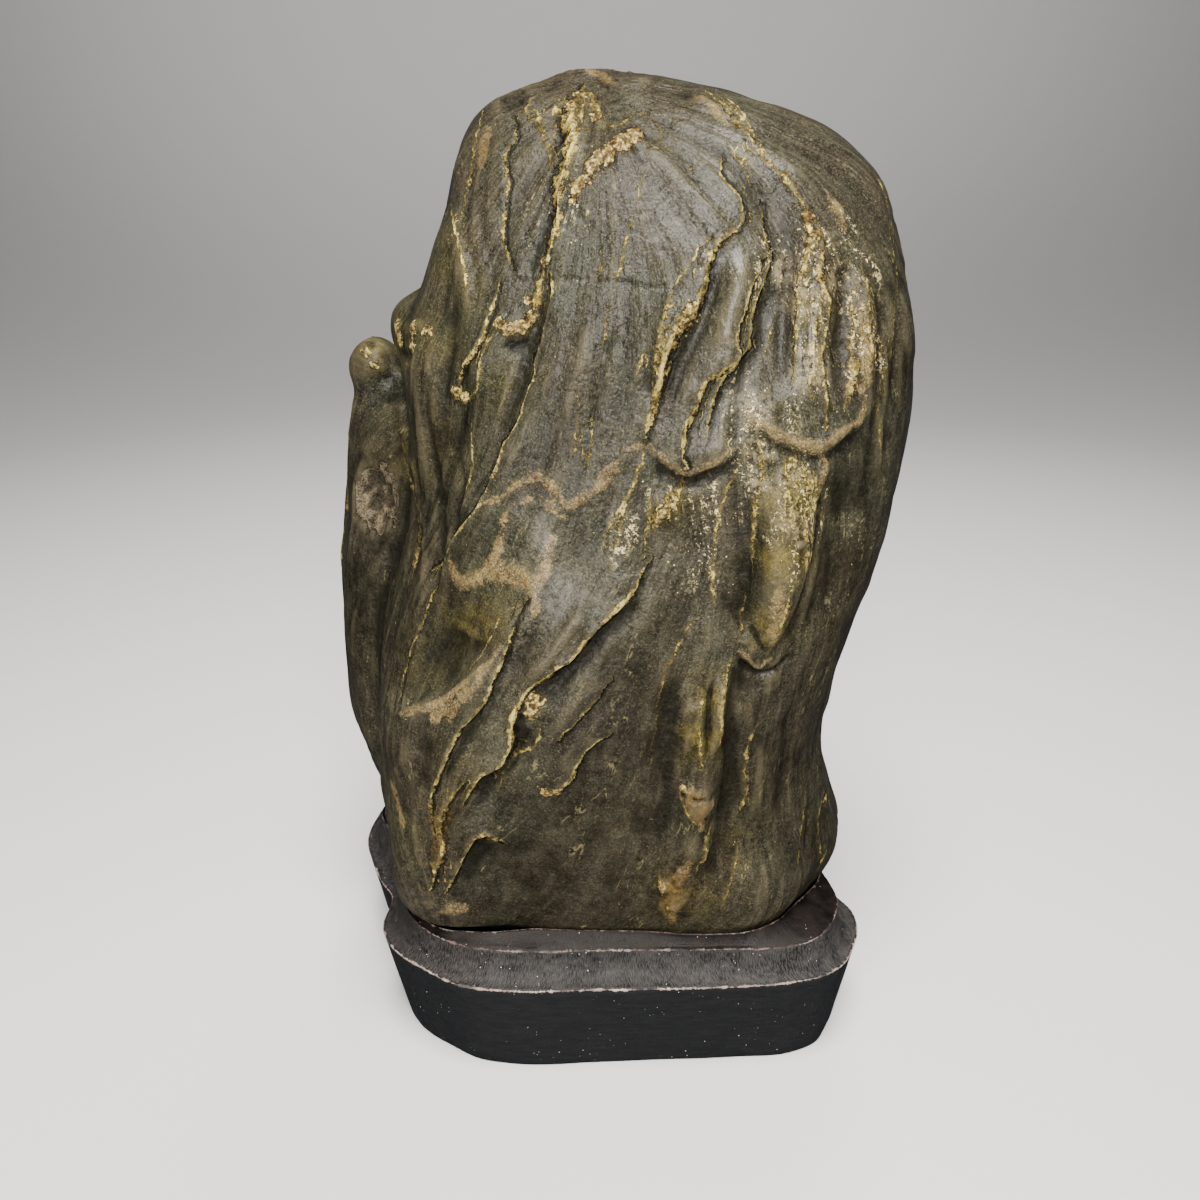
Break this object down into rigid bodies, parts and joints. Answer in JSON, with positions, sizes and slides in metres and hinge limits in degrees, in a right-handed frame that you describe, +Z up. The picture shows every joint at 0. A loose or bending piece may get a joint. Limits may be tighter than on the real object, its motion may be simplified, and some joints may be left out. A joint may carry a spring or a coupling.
{
  "type": "scholar's rock on a carved wooden stand",
  "caption": "Upright dark green-grey scholar's rock with pale veins and a shoulder behind it, standing in the recess of a low dark wooden stand with a coved rim.",
  "frame": {"origin": "centre of the stand's flat underside", "axes": "+Z up through the stone, -Y out of the stone's broad face, +X to the right as that face is seen"},
  "size_m": [0.1834, 0.1296, 0.2994],
  "materials": {
    "stone": "dark green-grey stone with cream, ochre and tan veins, rubbed to a waxy sheen",
    "stand": "black-brown stained wood, filed, worn pale along its edges"
  },
  "bodies": {
    "root": {"stone": "stone", "stand": "stand"}
  },
  "joints": []
}
